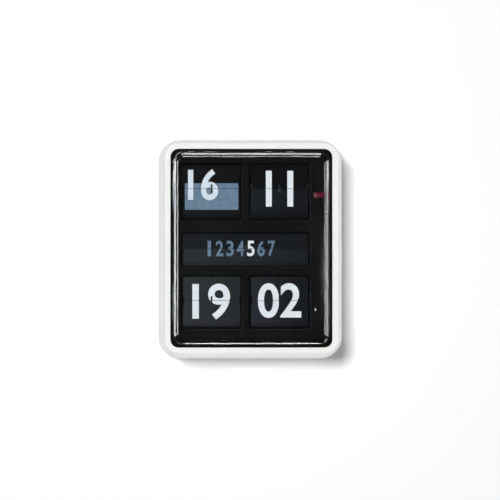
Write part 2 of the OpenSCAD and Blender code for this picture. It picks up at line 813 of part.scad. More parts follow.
idler_tube_r = 1.45;

module idler_gear() {
    bore = idler_pin_r + run_play;
    color(black) along_x() translate(idler_c) {
        translate([0, 0, minute_gear_x - 0.1]) rotate(mesh_b) linear_extrude(gear_t + 0.2) difference() {
            gear(pinion_n);
            circle(bore);
        }
        translate([0, 0, minute_gear_x]) linear_extrude(pinion_x0 + pinion_l - minute_gear_x) difference() {
            circle(idler_tube_r);
            circle(bore);
        }
        translate([0, 0, pinion_x0 + 0.5]) rotate(mesh_a + 180 + 180 / wheel_n) linear_extrude(gear_t + 0.5)
            difference() {
                gear(wheel_n);
                circle(bore);
            }
    }
}

module idler_arbor() {
    color(steel) rod_x(minute_gear_x - 0.1, module_x + 3, idler_c[0], idler_c[1], idler_pin_r);
}

module minute_gear() {
    color(black) along_x(minute_gear_x) translate(minute_c) rotate(mesh_b + 180 + 180 / minute_n)
        linear_extrude(gear_t) difference() {
            gear(minute_n);
            circle(hub_r);
        }
}

module motor_module() {
    w = module_y1 - module_y0;
    h = module_z1 - module_z0;
    color(black) along_x(module_x) difference() {
        translate([module_y0 + w / 2, module_z0 + h / 2, 0]) linear_extrude(module_t) rounded(w, h, 4);
        translate([seconds_c[0], seconds_c[1], -1]) cylinder(h = 5, r = arbor_r + run_play);
        translate([idler_c[0], idler_c[1], -1]) cylinder(h = 4, r = idler_pin_r);
        for (p = standoffs) translate([p[0], p[1], -1]) cylinder(h = 5, r = pilot_r);
    }
}

module motor_standoffs() {
    color(brass) for (p = standoffs) {
        rod_x(plate_r_x + plate_t, module_x, p[0], p[1], 2);
        rod_x(plate_r_x, module_x + 3, p[0], p[1], pilot_r);
    }
}

// Battery bay, behind the weekday row
holder_t = 1.6;
contact_room = 5.5;
bay_play = 1;
bay_l = cell_l + 2 * contact_room;
bay_h = cell_d + bay_play;
bay_d = cell_d + bay_play;
cell_y = -cover_front - 0.6 - cell_d / 2;
cell_x0 = -bay_l / 2 + contact_room;
nub_r = 3.2;
nub_l = 1.5;
contact_t = 0.5;

module battery_holder() {
    color(black) translate([0, -cover_front, 0]) difference() {
        translate([-bay_l / 2 - holder_t, -bay_d - holder_t, -bay_h / 2 - holder_t])
            cube([bay_l + 2 * holder_t, bay_d + holder_t, bay_h + 2 * holder_t]);
        translate([-bay_l / 2, -bay_d, -bay_h / 2]) cube([bay_l, bay_d + 1, bay_h]);
        for (s = [-1, 1]) translate([s * (bay_l / 2 + holder_t / 2), -bay_d / 2, 0])
            cube([holder_t + 2, 3, 3], center = true);
    }
}

module battery_cell() {
    color(brass) {
        rod_x(cell_x0, cell_x0 + cell_l, cell_y, 0, cell_d / 2);
        rod_x(cell_x0 + cell_l - 0.01, cell_x0 + cell_l + nub_l, cell_y, 0, nub_r);
    }
}

module battery_contacts() {
    end = bay_l / 2;
    y = -cover_front - bay_d / 2;
    plus = cell_x0 + cell_l + nub_l;
    leaf_end = 0.6;
    color(steel) {
        translate([end - contact_t, y - 5, -5]) cube([contact_t, 10, 10]);
        rod_x(plus, end - contact_t, y, 0, nub_r);
        translate([-end, y - 7, -4]) cube([contact_t, 14, 8]);
        linear_extrude(8, center = true)
            polygon([[contact_t - end, y - 7], [cell_x0, y - 1], [cell_x0, y + 1],
                [cell_x0 - leaf_end, y + 1], [cell_x0 - leaf_end, y - 0.4], [contact_t - end, y - 6.2]]);
    }
}

lead_r = 0.6;

module lead(path) {
    last = len(path) - 2;
    for (i = [0:last]) let (v = path[i + 1] - path[i], l = norm(v), before = i == 0 ? 0 : lead_r,
        after = i == last ? 0 : lead_r)
        translate(path[i] - v * before / l) rotate([0, acos(v[2] / l), atan2(v[1], v[0])])
            cylinder(h = l + before + after, r = lead_r + 0.04 * (i % 2));
}

module battery_leads() {
    y = -cover_front - bay_d / 2;
    end = bay_l / 2;
    mid_z = bay_h / 2 + holder_t + 3;
    drop = [module_x + 2, module_y1 + 4];
    color(red) lead([[end, y, 0], [end + 6, y, 0], [end + 6, -14, mid_z], [drop[0], -14, mid_z],
        [drop[0], drop[1], module_z0 + 6], [drop[0], module_y1, module_z0 + 6]]);
    color(black) lead([[-end, y, 0], [-end - 6, y, 0], [-end - 6, -10, mid_z + 3],
        [drop[0] + 4, -10, mid_z + 3], [drop[0] + 4, drop[1], module_z0 + 9],
        [drop[0] + 4, module_y1, module_z0 + 9]]);
}

// Rear
door_w = bay_l + 1;
door_h = bay_h + 4;
door_t = 2.2;
hinge_pin_r = 0.75;
hinge_z = -door_h / 2 + door_t / 2 + 0.1;
hinge_depth = cover_recess + cover_t / 2;
pin_l = 2;
grip_w = 16;
grip_pitch = 2;
grip_out = 0.5;

module keyhole() {
    circle(keyhole_r);
    translate([-keyhole_slot_w / 2, 0]) square([keyhole_slot_w, keyhole_slot_l]);
    translate([0, keyhole_slot_l]) circle(keyhole_slot_w / 2);
}

module button_hole(u, r, x) {
    translate([x + ratchet_t / 2, u[U_Z] + r + 0.6 + arm_h / 2]) circle(button_r + button_play);
}

module rear_cover() {
    color(charcoal) difference() {
        face_on(cover_recess) linear_extrude(cover_t) difference() {
            rounded(cover_w, cover_h, corner_r - cover_in);
            translate([0, hang_z]) keyhole();
            for (x = [-1, 1], z = [-1, 1]) translate([x * boss_x, z * boss_z]) circle(shank_r);
            for (x = foot_x, z = [leg_top, leg_low]) translate([x, z + leg_h / 2]) circle(shank_r);
            square([door_w + 2 * fit, door_h], center = true);
            button_hole(hour_u, ratchet_r, ratchet_l);
            button_hole(weekday_u, weekday_ratchet_r, ratchet_l);
            button_hole(date_u, ratchet_r, ratchet_l);
            button_hole(month_u, ratchet_r, ratchet_r_x);
        }
        rod_x(-door_w / 2 - pin_l - fit, door_w / 2 + pin_l + fit, -hinge_depth, hinge_z,
            hinge_pin_r + run_play);
    }
}

module rear_cover_screws() {
    color(steel) for (x = [-1, 1], z = [-1, 1])
        face_on(cover_recess) translate([x * boss_x, z * boss_z, 0]) screw(screw_l, pilot_r);
}

module battery_door() {
    top = door_h / 2 - fit;
    color(charcoal) {
        translate([-door_w / 2, -hinge_depth - door_t / 2, hinge_z]) cube([door_w, door_t, top - hinge_z]);
        rod_x(-door_w / 2, door_w / 2, -hinge_depth, hinge_z, door_t / 2);
        rod_x(-door_w / 2 - pin_l, door_w / 2 + pin_l, -hinge_depth, hinge_z, hinge_pin_r);
        for (i = [0:2])
            translate([-grip_w / 2, -hinge_depth + door_t / 2 - 0.01, top - (3 - i) * grip_pitch])
                cube([grip_w, grip_out, grip_pitch / 2]);
    }
}

place() case_shell();
place() lens();
place() lens_seal();
place() fascia();
place() fascia_screw();
place() leaf_catches();
place() rear_cover();
place() rear_cover_screws();
place() battery_door();
place() frame_plate_left();
place() frame_plate_right();
place() frame_plates_middle();
place() tie_rods();
place() frame_screws();
place() axle(hour_u);  // time_axle
place() axle(weekday_u);  // weekday_axle
place() axle(date_u);  // calendar_axle
place() drum(hour_u);  // hour_drum
place() leaf_pack(hour_u);  // hour_leaf_pack
place() leaf(hour_u, 0);  // hour_leaf
place() ratchet(hour_u, ratchet_r, ratchet_l);  // hour_ratchet
place() drum(minute_u);  // minute_drum
place() leaf_pack(minute_u);  // minute_leaf_pack
place() leaf(minute_u, 0);  // minute_leaf
place() minute_gear();
place() drum(weekday_u);  // weekday_drum
place() leaf_pack(weekday_u);  // weekday_leaf_pack
place() leaf(weekday_u, 0);  // weekday_leaf
place() ratchet(weekday_u, weekday_ratchet_r, ratchet_l);  // weekday_ratchet
place() drum(date_u);  // date_drum
place() leaf_pack(date_u);  // date_leaf_pack
place() leaf(date_u, 0);  // date_leaf
place() ratchet(date_u, ratchet_r, ratchet_l);  // date_ratchet
place() drum(month_u);  // month_drum
place() leaf_pack(month_u);  // month_leaf_pack
place() leaf(month_u, 0);  // month_leaf
place() ratchet(month_u, ratchet_r, ratchet_r_x);  // month_ratchet
place() motor_module();
place() motor_standoffs();
place() seconds_drum();
place() seconds_arbor();
place() seconds_pinion();
place() idler_gear();
place() idler_arbor();
place() button(hour_u, ratchet_r, ratchet_l);  // hour_button
place() button(weekday_u, weekday_ratchet_r, ratchet_l);  // weekday_button
place() button(date_u, ratchet_r, ratchet_l);  // date_button
place() button(month_u, ratchet_r, ratchet_r_x);  // month_button
place() button_spring(hour_u, ratchet_r, ratchet_l);  // hour_button_spring
place() button_spring(weekday_u, weekday_ratchet_r, ratchet_l);  // weekday_button_spring
place() button_spring(date_u, ratchet_r, ratchet_l);  // date_button_spring
place() button_spring(month_u, ratchet_r, ratchet_r_x);  // month_button_spring
place() battery_holder();
place() battery_cell();
place() battery_contacts();
place() battery_leads();
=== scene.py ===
import json
import math

import bmesh
import bpy
from mathutils import Matrix, Vector


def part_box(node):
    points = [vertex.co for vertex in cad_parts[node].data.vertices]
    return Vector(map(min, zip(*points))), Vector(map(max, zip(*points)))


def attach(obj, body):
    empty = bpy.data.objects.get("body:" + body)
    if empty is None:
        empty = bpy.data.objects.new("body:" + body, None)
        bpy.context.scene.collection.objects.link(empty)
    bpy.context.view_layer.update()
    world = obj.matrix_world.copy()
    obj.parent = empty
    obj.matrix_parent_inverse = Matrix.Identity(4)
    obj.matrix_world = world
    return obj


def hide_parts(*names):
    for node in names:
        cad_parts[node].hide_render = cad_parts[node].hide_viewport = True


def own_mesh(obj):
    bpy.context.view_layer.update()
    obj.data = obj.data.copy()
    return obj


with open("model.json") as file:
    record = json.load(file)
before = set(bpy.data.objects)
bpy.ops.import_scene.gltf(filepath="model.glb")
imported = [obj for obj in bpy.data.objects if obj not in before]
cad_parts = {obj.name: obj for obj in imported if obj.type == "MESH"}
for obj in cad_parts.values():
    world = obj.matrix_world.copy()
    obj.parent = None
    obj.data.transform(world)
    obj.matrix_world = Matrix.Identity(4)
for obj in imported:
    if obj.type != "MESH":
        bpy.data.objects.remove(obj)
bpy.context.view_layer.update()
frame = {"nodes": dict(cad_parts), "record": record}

NODES = frame["nodes"]
SCENE = bpy.context.scene
UPRIGHT = Matrix.Rotation(math.radians(90), 3, "X")

# Sizes in millimetres, in the part's own frame
MM = 0.001
MIDDLE_Z = -88.0
WALL_Y = 4.0
RIM_Y = -88.0
CASE_W, CASE_H, CASE_R = 201.5, 240.0, 24.5
CASE_TAPER, CASE_RIM, CASE_WALL, CASE_LIP = 10.2, 5.8, 2.5, 3.0
BOSS_OUT, BOSS_BORE, BOSS_R = 11.7, 1.2, 4.0
BOSS_BASE, BOSS_TIP = -2.5, -24.5
LENS_W, LENS_H, LENS_R = 164.7, 202.6, 12.0
LENS_FRONT, LENS_T = -91.0, 4.0
LENS_EDGE, LENS_INNER_EDGE = 4.5, 2.0
FLANGE_IN, FLANGE_FRONT, FLANGE_BACK = 13.0, -84.2, -82.2
LEAF_Y, LEAF_T = -62.0, 0.08
INK_T, INK_STEP = 0.012, 0.0132
SPLIT, SLIT, SLIT_H = 0.2, 0.95, 4.7
SECONDS_LEFT, SECONDS_Y, SECONDS_Z = 66.6, -56.3, -31.3

# Levels of the lamps that only the lens and other gloss mirror
LEFT_LAMP, TOP_LAMP, FLOOR_LAMP, STRIP_LAMP = 16.5, 17.0, 24.0, 22.0
RIGHT_LAMP, RIGHT_EDGE_LAMP = 7.5, 1.6

# Ray depths up to which a mirrored ray has met only the lens's outer face, or both of its faces
OUTER_FACE, BOTH_FACES = 2.5, 4.5

# Steps round a corner of the case or the lens
CORNER_STEPS = 14


# Finishes

class Wire:
    """A shader value with plain arithmetic: each operator adds one Math node."""

    def __init__(self, finish, socket):
        self.finish = finish
        self.socket = socket

    def maths(self, operation, first, second):
        return self.finish.add("ShaderNodeMath", {"operation": operation}, {0: first, 1: second})

    def __add__(self, other):
        return self.maths("ADD", self, other)

    def __radd__(self, other):
        return self.maths("ADD", other, self)

    def __sub__(self, other):
        return self.maths("SUBTRACT", self, other)

    def __rsub__(self, other):
        return self.maths("SUBTRACT", other, self)

    def __mul__(self, other):
        return self.maths("MULTIPLY", self, other)

    def __rmul__(self, other):
        return self.maths("MULTIPLY", other, self)

    def __truediv__(self, other):
        return self.maths("DIVIDE", self, other)

    def __lt__(self, other):
        return self.maths("LESS_THAN", self, other)

    def __gt__(self, other):
        return self.maths("GREATER_THAN", self, other)


class Finish:
    """The node tree of a material or of the world."""

    def __init__(self, name, holder=None):
        self.holder = holder or bpy.data.materials.new(name)
        self.holder.use_nodes = True
        self.tree = self.holder.node_tree
        self.tree.nodes.clear()

    def add(self, kind, settings=None, sockets=None, output=0):
        node = self.tree.nodes.new(kind)
        for key, value in (settings or {}).items():
            setattr(node, key, value)
        for key, value in (sockets or {}).items():
            if isinstance(value, Wire):
                self.tree.links.new(value.socket, node.inputs[key])
            else:
                node.inputs[key].default_value = value
        return Wire(self, node.outputs[output])

    def place(self, stretch=(1, 1, 1)):
        spot = self.add("ShaderNodeTexCoord", output="Object")
        return self.add("ShaderNodeMapping", {}, {"Vector": spot, "Scale": stretch})

    def share(self, vector, name):
        return self.add("ShaderNodeSeparateXYZ", {}, {0: vector}, output=name)

    def axis(self, name):
        return self.share(self.add("ShaderNodeTexCoord", output="Object"), name)

    def noise(self, scale, detail=2.0, stretch=(1, 1, 1)):
        return self.add("ShaderNodeTexNoise", {},
                        {"Vector": self.place(stretch), "Scale": scale, "Detail": detail})

    def ramp(self, value, low, high):
        return self.add("ShaderNodeMapRange", {"interpolation_type": "SMOOTHSTEP"},
                        {"Value": value, "From Min": low, "From Max": high})

    def size(self, value):
        return self.add("ShaderNodeMath", {"operation": "ABSOLUTE"}, {0: value})

    def rest(self, value):
        return self.add("ShaderNodeMath", {"operation": "FRACT"}, {0: value})

    def most(self, first, second):
        return self.add("ShaderNodeMath", {"operation": "MAXIMUM"}, {0: first, 1: second})

    def geometry(self, name):
        return self.add("ShaderNodeNewGeometry", output=name)

    def path(self, name):
        return self.add("ShaderNodeLightPath", output=name)

    def mirrored(self):
        return self.most(self.path("Is Glossy Ray"), self.path("Is Transmission Ray"))

    def let_by(self):
        return self.most(self.path("Is Shadow Ray"), self.path("Is Diffuse Ray"))

    def mix(self, factor, first, second):
        return self.add("ShaderNodeMix", {"data_type": "RGBA"},
                        {0: factor, 6: first, 7: second}, output=2)

    def bump(self, height, strength, distance):
        return self.add("ShaderNodeBump", {},
                        {"Height": height, "Strength": strength, "Distance": distance})

    def grain(self, scale, strength, depth):
        return self.bump(self.noise(scale), strength, depth)

    def surface(self, sockets):
        return self.add("ShaderNodeBsdfPrincipled", {}, sockets)

    def clear(self, colour=(1, 1, 1, 1)):
        return self.add("ShaderNodeBsdfTransparent", {}, {"Color": colour})

    def either(self, factor, first, second):
        return self.add("ShaderNodeMixShader", {}, {0: factor, 1: first, 2: second})

    def out(self, shader):
        of_world = isinstance(self.holder, bpy.types.World)
        kind = "ShaderNodeOutputWorld" if of_world else "ShaderNodeOutputMaterial"
        self.tree.links.new(shader.socket, self.tree.nodes.new(kind).inputs["Surface"])
        return self.holder


def rgb(red, green, blue):
    """A linear colour from its 8-bit display values."""
    def linear(value):
        share = value / 255
        return share / 12.92 if share <= 0.04045 else ((share + 0.055) / 1.055) ** 2.4
    return (linear(red), linear(green), linear(blue), 1.0)


def grey(level):
    return (level, level, level, 1.0)


def drifting(f, pale, deep):
    """Colour of a moulding that drifts slowly between two tones."""
    return f.mix(f.ramp(f.noise(14.0, 3.0), 0.3, 0.7), pale, deep)


def uneven(f, rough):
    """Roughness of a moulding, a little uneven over the surface."""
    return rough + 0.06 * f.noise(60.0, 3.0)


def moulded(name, pale, deep, rough, scale, depth, shine):
    """Moulded plastic: slow colour drift, fine spark texture, a little uneven gloss."""
    f = Finish(name)
    return f.out(f.surface({
        "Base Color": drifting(f, pale, deep),
        "Roughness": uneven(f, rough),
        "Specular IOR Level": shine,
        "Normal": f.grain(scale, 0.12, depth)}))


def fascia_moulding():
    """Black moulding, with a painted highlight on the bevelled window edges that lean up and to the
    left, towards the key lamp.
    """
    f = Finish("fascia_moulding")
    facing = f.geometry("Normal")
    leaning = f.share(facing, "Z") - f.share(facing, "X")
    # Painted highlight: bevels that lean up or left, towards the key lamp, are painted paler
    painted_highlight = f.ramp(leaning, 0.45, 0.7) * (0.75 + 0.5 * f.noise(90.0, 3.0))
    body = drifting(f, rgb(12, 12, 13), rgb(15, 15, 16))
    return f.out(f.surface({
        "Base Color": f.mix(painted_highlight, body, rgb(40, 41, 43)),
        "Roughness": uneven(f, 0.59),
        "Specular IOR Level": 0.03,
        "Normal": f.grain(1300.0, 0.12, 0.00003)}))


def rear_moulding():
    """Charcoal moulding with a spark texture outside; its inner face is painted near black as the
    shade inside the case.
    """
    f = Finish("charcoal_moulding")
    # Painted shade: the inner face is painted near black and duller
    inside = 1 - f.ramp(f.axis("Y"), -2.2 * MM, -1.0 * MM)
    outer = drifting(f, rgb(44, 44, 46), rgb(51, 51, 53))
    return f.out(f.surface({
        "Base Color": f.mix(inside, outer, rgb(5, 5, 5)),
        "Roughness": uneven(f, 0.55) + 0.3 * inside,
        "Specular IOR Level": 0.25,
        "Normal": f.grain(900.0, 0.15, 0.00004)}))


def button_moulding():
    """Push button: ivory cap outside the cover; its arm inside the case is painted near black as
    the shade inside the case.
    """
    f = Finish("button_moulding")
    # Painted shade: the arm inside the case is painted near black
    inside = 1 - f.ramp(f.axis("Y"), -3.4 * MM, -2.8 * MM)
    cap = drifting(f, rgb(226, 220, 202), rgb(214, 206, 186))
    return f.out(f.surface({
        "Base Color": f.mix(inside, cap, rgb(9, 9, 9)),
        "Roughness": uneven(f, 0.45) + 0.15 * inside,
        "Specular IOR Level": 0.1,
        "Normal": f.grain(700.0, 0.12, 0.00002)}))


def screw_head():
    """Blackened screw head with a painted highlight: a pale upright oval in its middle, lightest
    towards its lower end.
    """
    f = Finish("screw_head")
    highlight_w, highlight_h = 0.85 * MM, 1.7 * MM
    low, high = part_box("fascia_screw")
    across = (f.axis("X") - (low[0] + high[0]) / 2) / highlight_w
    along = (f.axis("Z") - (low[2] + high[2]) / 2) / highlight_h
    # Painted highlight: a pale upright oval on the middle of the head, lighter at its lower end
    painted_highlight = 1 - f.ramp(across * across + along * along, 0.55, 1.25)
    bright = f.mix(f.ramp(along, -0.6, 0.7), rgb(236, 237, 239), rgb(168, 169, 171))
    return f.out(f.surface({
        "Base Color": f.mix(painted_highlight, rgb(7, 7, 7), bright),
        "Metallic": 0.2 * painted_highlight,
        "Roughness": 0.4 + 0.15 * f.noise(700.0, 3.0),
        "Specular IOR Level": 0.03,
        "Normal": f.grain(900.0, 0.08, 0.00002)}))


def drawn_metal(name, pale, deep, rough, stretch):
    """Rolled or turned metal: streaks along one way, with duller patches."""
    f = Finish(name)
    streak = f.noise(1.0, 3.0, stretch)
    patch = f.ramp(f.noise(45.0, 4.0), 0.35, 0.75)
    return f.out(f.surface({
        "Base Color": f.mix(patch, pale, deep),
        "Metallic": 1.0,
        "Roughness": rough + 0.14 * streak + 0.06 * patch,
        "Normal": f.bump(streak, 0.1, 0.00002)}))


def leaf_sheet(name, unit):
    """Thin satin sheet with a faint rolling grain along the leaf, painted sheen that makes it
    lighter on the left, painted shadow lines along the lower edges of the older leaves, painted
    shade that darkens the older leaves towards the sill, and steel pins at the pivots."""
    f = Finish(name + "_leaf_sheet")
    pin_w, pin_h, middle_pin_w, edge_h, edges_seen = 1.27, 4.3, 0.6, 0.28, 4
    grain = f.noise(1.0, 3.0, (60.0, 700.0, 1400.0))
    cloud = f.noise(22.0, 3.0)
    across = f.axis("X") / MM - unit["x"]
    above = f.axis("Z") / MM - unit["z"]
    wide = f.size(across)
    pin = (f.size(above) < pin_h) * f.most(wide > unit["w"] / 2 - pin_w, wide < middle_pin_w)
    # Painted sheen: each sheet goes from a lighter tone on the left to a darker one on the right,
    # with some cloudy random tone
    wear_and_sheen = f.ramp(across / unit["w"] + 0.5 * cloud, -0.3, 0.8)
    upper = f.mix(wear_and_sheen, *unit["upper"])
    lower = f.mix(wear_and_sheen, *unit["lower"])
    sheet = f.mix(above > 0, lower, upper)
    # Painted shade: the older leaves darken to near black towards the sill
    sheet = f.mix(f.ramp(-1 * above, *unit["shade"]), sheet, rgb(2, 2, 2))
    turn = math.tau / unit["count"]
    radius = unit["reach"] / math.cos(turn / 2)
    drops = [radius * (math.sin((k + 0.5) * turn) - math.sin(turn / 2)) for k in range(edges_seen)]
    # Painted shadow: dark lines along the lower edges of the older leaves, where one leaf shades
    # the next
    painted_edge_shadow = sum(f.size(above + unit["h"] + drop) < edge_h for drop in drops)
    return f.out(f.surface({
        "Base Color": f.mix(pin, f.mix(0.7 * painted_edge_shadow, sheet, rgb(4, 4, 5)), rgb(190, 190, 190)),
        "Metallic": 0.35 * pin,
        "Roughness": 0.6 + 0.1 * grain - 0.25 * pin,
        "Specular IOR Level": 0.02,
        "Normal": f.bump(grain, 0.1, 0.00001)}))


def leaf_ink(name, full, thin):
    """Screen-printed ink with a slightly uneven film."""
    f = Finish(name)
    film = f.ramp(f.noise(160.0, 4.0), 0.35, 0.8)
    return f.out(f.surface({
        "Base Color": f.mix(film, full, thin),
        "Roughness": 0.5 + 0.12 * f.noise(420.0),
        "Normal": f.grain(1500.0, 0.06, 0.00001)}))


def clear_acrylic():
    """Polished clear lens that lets the lamps through to the leaves."""
    f = Finish("clear_acrylic")
    tint = (0.985, 0.99, 0.99, 1)
    glass = f.surface({
        "Base Color": tint,
        "Roughness": 0.006 + 0.012 * f.noise(35.0),
        "IOR": 1.49,
        "Transmission Weight": 1.0})
    return f.out(f.either(f.let_by(), glass, f.clear(tint)))


def seal_rubber():
    """Dull rubber with a dusty bloom."""
    f = Finish("seal_rubber")
    bloom = f.ramp(f.noise(120.0, 4.0), 0.45, 0.8)
    return f.out(f.surface({
        "Base Color": f.mix(bloom, rgb(9, 9, 9), rgb(13, 13, 13)),
        "Roughness": 0.75 + 0.12 * bloom,
        "Specular IOR Level": 0.03,
        "Normal": f.grain(900.0, 0.15, 0.00003)}))


def seconds_red():
    """Red drum with a pale tick at each second, every fifth one long."""
    f = Finish("seconds_red")
    phase, tick_share, short, longer = 0.25, 0.22, 2.2 * MM, 2.6 * MM
    up = f.axis("Z") - SECONDS_Z * MM
    out = SECONDS_Y * MM - f.axis("Y")
    turn = f.add("ShaderNodeMath", {"operation": "ARCTAN2"}, {0: up, 1: out})
    seconds = turn * (60 / math.tau) + (120 + phase)
    every_fifth = f.rest((seconds - phase) / 5 + 0.1) < 0.2
    left = f.axis("X") - SECONDS_LEFT * MM
    tick = (f.rest(seconds) < tick_share) * (left < short + longer * every_fifth)
    wear_and_sheen = f.ramp(f.noise(380.0, 4.0), 0.42, 0.7)
    paint = f.mix(f.noise(260.0, 3.0), rgb(98, 20, 42), rgb(64, 21, 35))
    return f.out(f.surface({
        "Base Color": f.mix(tick * (0.55 + 0.35 * wear_and_sheen), paint, rgb(214, 180, 176)),
        "Roughness": 0.5 + 0.15 * wear_and_sheen,
        "Specular IOR Level": 0.08,
        "Normal": f.grain(900.0, 0.08, 0.00002)}))


def cell_sleeve():
    """Printed battery sleeve: dark body, coppery end band and bare metal ends, with no words."""
    f = Finish("cell_sleeve")
    band_from, ends_from = (8.0, 8.4), (23.3, 23.6)
    along = f.axis("X") / MM
    band = f.ramp(along, *band_from)
    ends = f.ramp(f.size(along), *ends_from)
    body = f.mix(band, rgb(42, 44, 48), rgb(168, 104, 60))
    return f.out(f.surface({
        "Base Color": f.mix(ends, body, rgb(196, 198, 202)),
        "Metallic": 0.25 + 0.7 * ends,
        "Roughness": 0.28 + 0.1 * f.noise(90.0, 3.0)}))


def lead_sleeve():
    """Soft insulation of the two leads: the one behind and above the cell black, the other red."""
    f = Finish("lead_sleeve")
    behind = f.ramp(f.axis("Y"), -8.5 * MM, -7.8 * MM)
    upper = behind * f.ramp(f.axis("Z"), -73.5 * MM, -72.5 * MM)
    return f.out(f.surface({
        "Base Color": f.mix(upper, rgb(176, 30, 32), rgb(26, 26, 27)),
        "Roughness": 0.5 + 0.15 * f.noise(500.0),
        "Normal": f.grain(700.0, 0.1, 0.00002)}))


def tones(upper_left, upper_right, lower_left, lower_right):
    return dict(upper=(rgb(*upper_left), rgb(*upper_right)),
                lower=(rgb(*lower_left), rgb(*lower_right)))


# Units: leaves round the drum, reach of their pivots, middle of the window, a leaf's width and
# height, where the painted shade on the older leaves starts and ends, and the tones of the sheet,
# which paint sheen and shade: lighter on the left and on the lower leaf
UNITS = {
    "hour": dict(count=24, reach=13.9, x=-41.85, z=-24.6, w=60.8, h=24.9, shade=(26.5, 34.2),
                 **tones((20, 21, 22), (15, 14, 15), (27, 31, 34), (24, 27, 30))),
    "minute": dict(count=60, reach=13.9, x=30.15, z=-24.6, w=60.8, h=24.9, shade=(26.5, 34.2),
                   **tones((15, 15, 17), (14, 14, 16), (27, 32, 36), (22, 24, 29))),
    "weekday": dict(count=28, reach=7.95, x=-5.85, z=-88.0, w=132.8, h=14.9, shade=(17.4, 19.0),
                    **tones((27, 31, 34), (21, 24, 28), (44, 48, 52), (28, 32, 36))),
    "date": dict(count=31, reach=13.9, x=-41.85, z=-143.2, w=60.8, h=24.9, shade=(24.2, 30.2),
                 **tones((48, 53, 54), (40, 45, 48), (51, 55, 57), (41, 45, 48))),
    "month": dict(count=24, reach=13.9, x=30.15, z=-143.2, w=60.8, h=24.9, shade=(24.2, 30.2),
                  **tones((39, 43, 47), (23, 26, 30), (42, 45, 51), (23, 27, 31)))}

LEAVES = {name: leaf_sheet(name, unit) for name, unit in UNITS.items()}
WHITE = moulded("white_moulding", rgb(240, 240, 237), rgb(237, 237, 234),
                rough=0.45, scale=1100.0, depth=0.00002, shine=0.3)
BLACK = moulded("black_moulding", rgb(6, 6, 7), rgb(9, 9, 9),
                rough=0.59, scale=1300.0, depth=0.00003, shine=0.03)
CHARCOAL = rear_moulding()
FASCIA = fascia_moulding()
BLACKENED = moulded("blackened_steel", rgb(8, 8, 9), rgb(12, 12, 12),
                    rough=0.47, scale=500.0, depth=0.00002, shine=0.05)
IVORY = button_moulding()
STEEL = drawn_metal("rolled_steel", rgb(206, 208, 211), rgb(182, 184, 188),
                    rough=0.26, stretch=(40.0, 900.0, 40.0))
BRIGHT = screw_head()
BRASS = drawn_metal("cut_brass", rgb(214, 178, 104), rgb(186, 148, 82),
                    rough=0.24, stretch=(900.0, 60.0, 60.0))
WHITE_INK, SLATE_INK, HOUR_INK = range(3)
INKS = [leaf_ink("white_ink", rgb(238, 245, 251), rgb(231, 239, 248)),
        leaf_ink("slate_ink", rgb(92, 116, 138), rgb(78, 100, 120)),
        leaf_ink("hour_ink", rgb(221, 232, 241), rgb(213, 224, 235))]
LENS = clear_acrylic()

SLOT_FINISH = {
    "white_plastic": WHITE, "lens_clear": LENS, "seal_rubber": seal_rubber(),
    "black_plastic": BLACK, "charcoal_plastic": CHARCOAL, "ivory_plastic": IVORY,
    "red_plastic": seconds_red(), "steel": STEEL, "dark_steel": BLACKENED, "bright_steel": BRIGHT,
    "brass": BRASS, "cell_wrap": cell_sleeve(), "lead_plastic": lead_sleeve()}


def dress_nodes():
    """Gives every CAD node its finish."""
    for part in frame["record"]["subparts"]:
        finish = SLOT_FINISH.get(part["material_slot"])
        if part["material_slot"] == "leaf_plastic":
            finish = LEAVES[part["node"].split("_")[0]]
        elif part["node"] == "fascia":
            finish = FASCIA
        mesh = NODES[part["node"]].data
        mesh.materials.clear()
        mesh.materials.append(finish)


# Making pieces

def everything(bm):
    return list(bm.verts) + list(bm.edges) + list(bm.faces)


def points_of(geometry):
    return [g for g in geometry if isinstance(g, bmesh.types.BMVert)]


def stand_up(bm, points):
    bmesh.ops.rotate(bm, cent=(0, 0, 0), matrix=UPRIGHT, verts=points)


def round_corners(bm, corners, radius, segments):
    bmesh.ops.bevel(bm, geom=corners, offset=radius, segments=segments, profile=0.5,
                    affect="VERTICES", material=-1)


def soften(bm, edges, size, segments):
    bmesh.ops.bevel(bm, geom=edges, offset=size, offset_type="OFFSET", segments=segments,
                    profile=0.5, affect="EDGES", material=-1)


def outline(bm, width, height, radius, depth, keep):
    """A rounded rectangle that stands upright at a depth. Returns its edges."""
    old = set(bm.faces)
    corners = bmesh.ops.create_grid(bm, x_segments=1, y_segments=1, size=0.5)["verts"]
    bmesh.ops.scale(bm, vec=(width, height, 1), verts=corners)
    round_corners(bm, corners, radius, CORNER_STEPS)
    face = next(f for f in bm.faces if f not in old)
    points, edges = list(face.verts), list(face.edges)
    stand_up(bm, points)
    bmesh.ops.translate(bm, vec=(0, depth, MIDDLE_Z), verts=points)
    if not keep:
        bmesh.ops.delete(bm, geom=[face], context="FACES_ONLY")
    return edges


def case_ring(bm, inset, depth, keep=False):
    """The case's outline drawn in by an inset, at a depth."""
    return outline(bm, CASE_W - 2 * inset, CASE_H - 2 * inset, CASE_R - inset, depth, keep)


def lens_ring(bm, inset, depth, keep=False):
    """The lens's outline, with its own corners, drawn in by an inset, at a depth."""
    return outline(bm, LENS_W - 2 * inset, LENS_H - 2 * inset, LENS_R - inset, depth, keep)


def put(name, data):
    made = bpy.data.objects.new(name, data)
    SCENE.collection.objects.link(made)
    return made


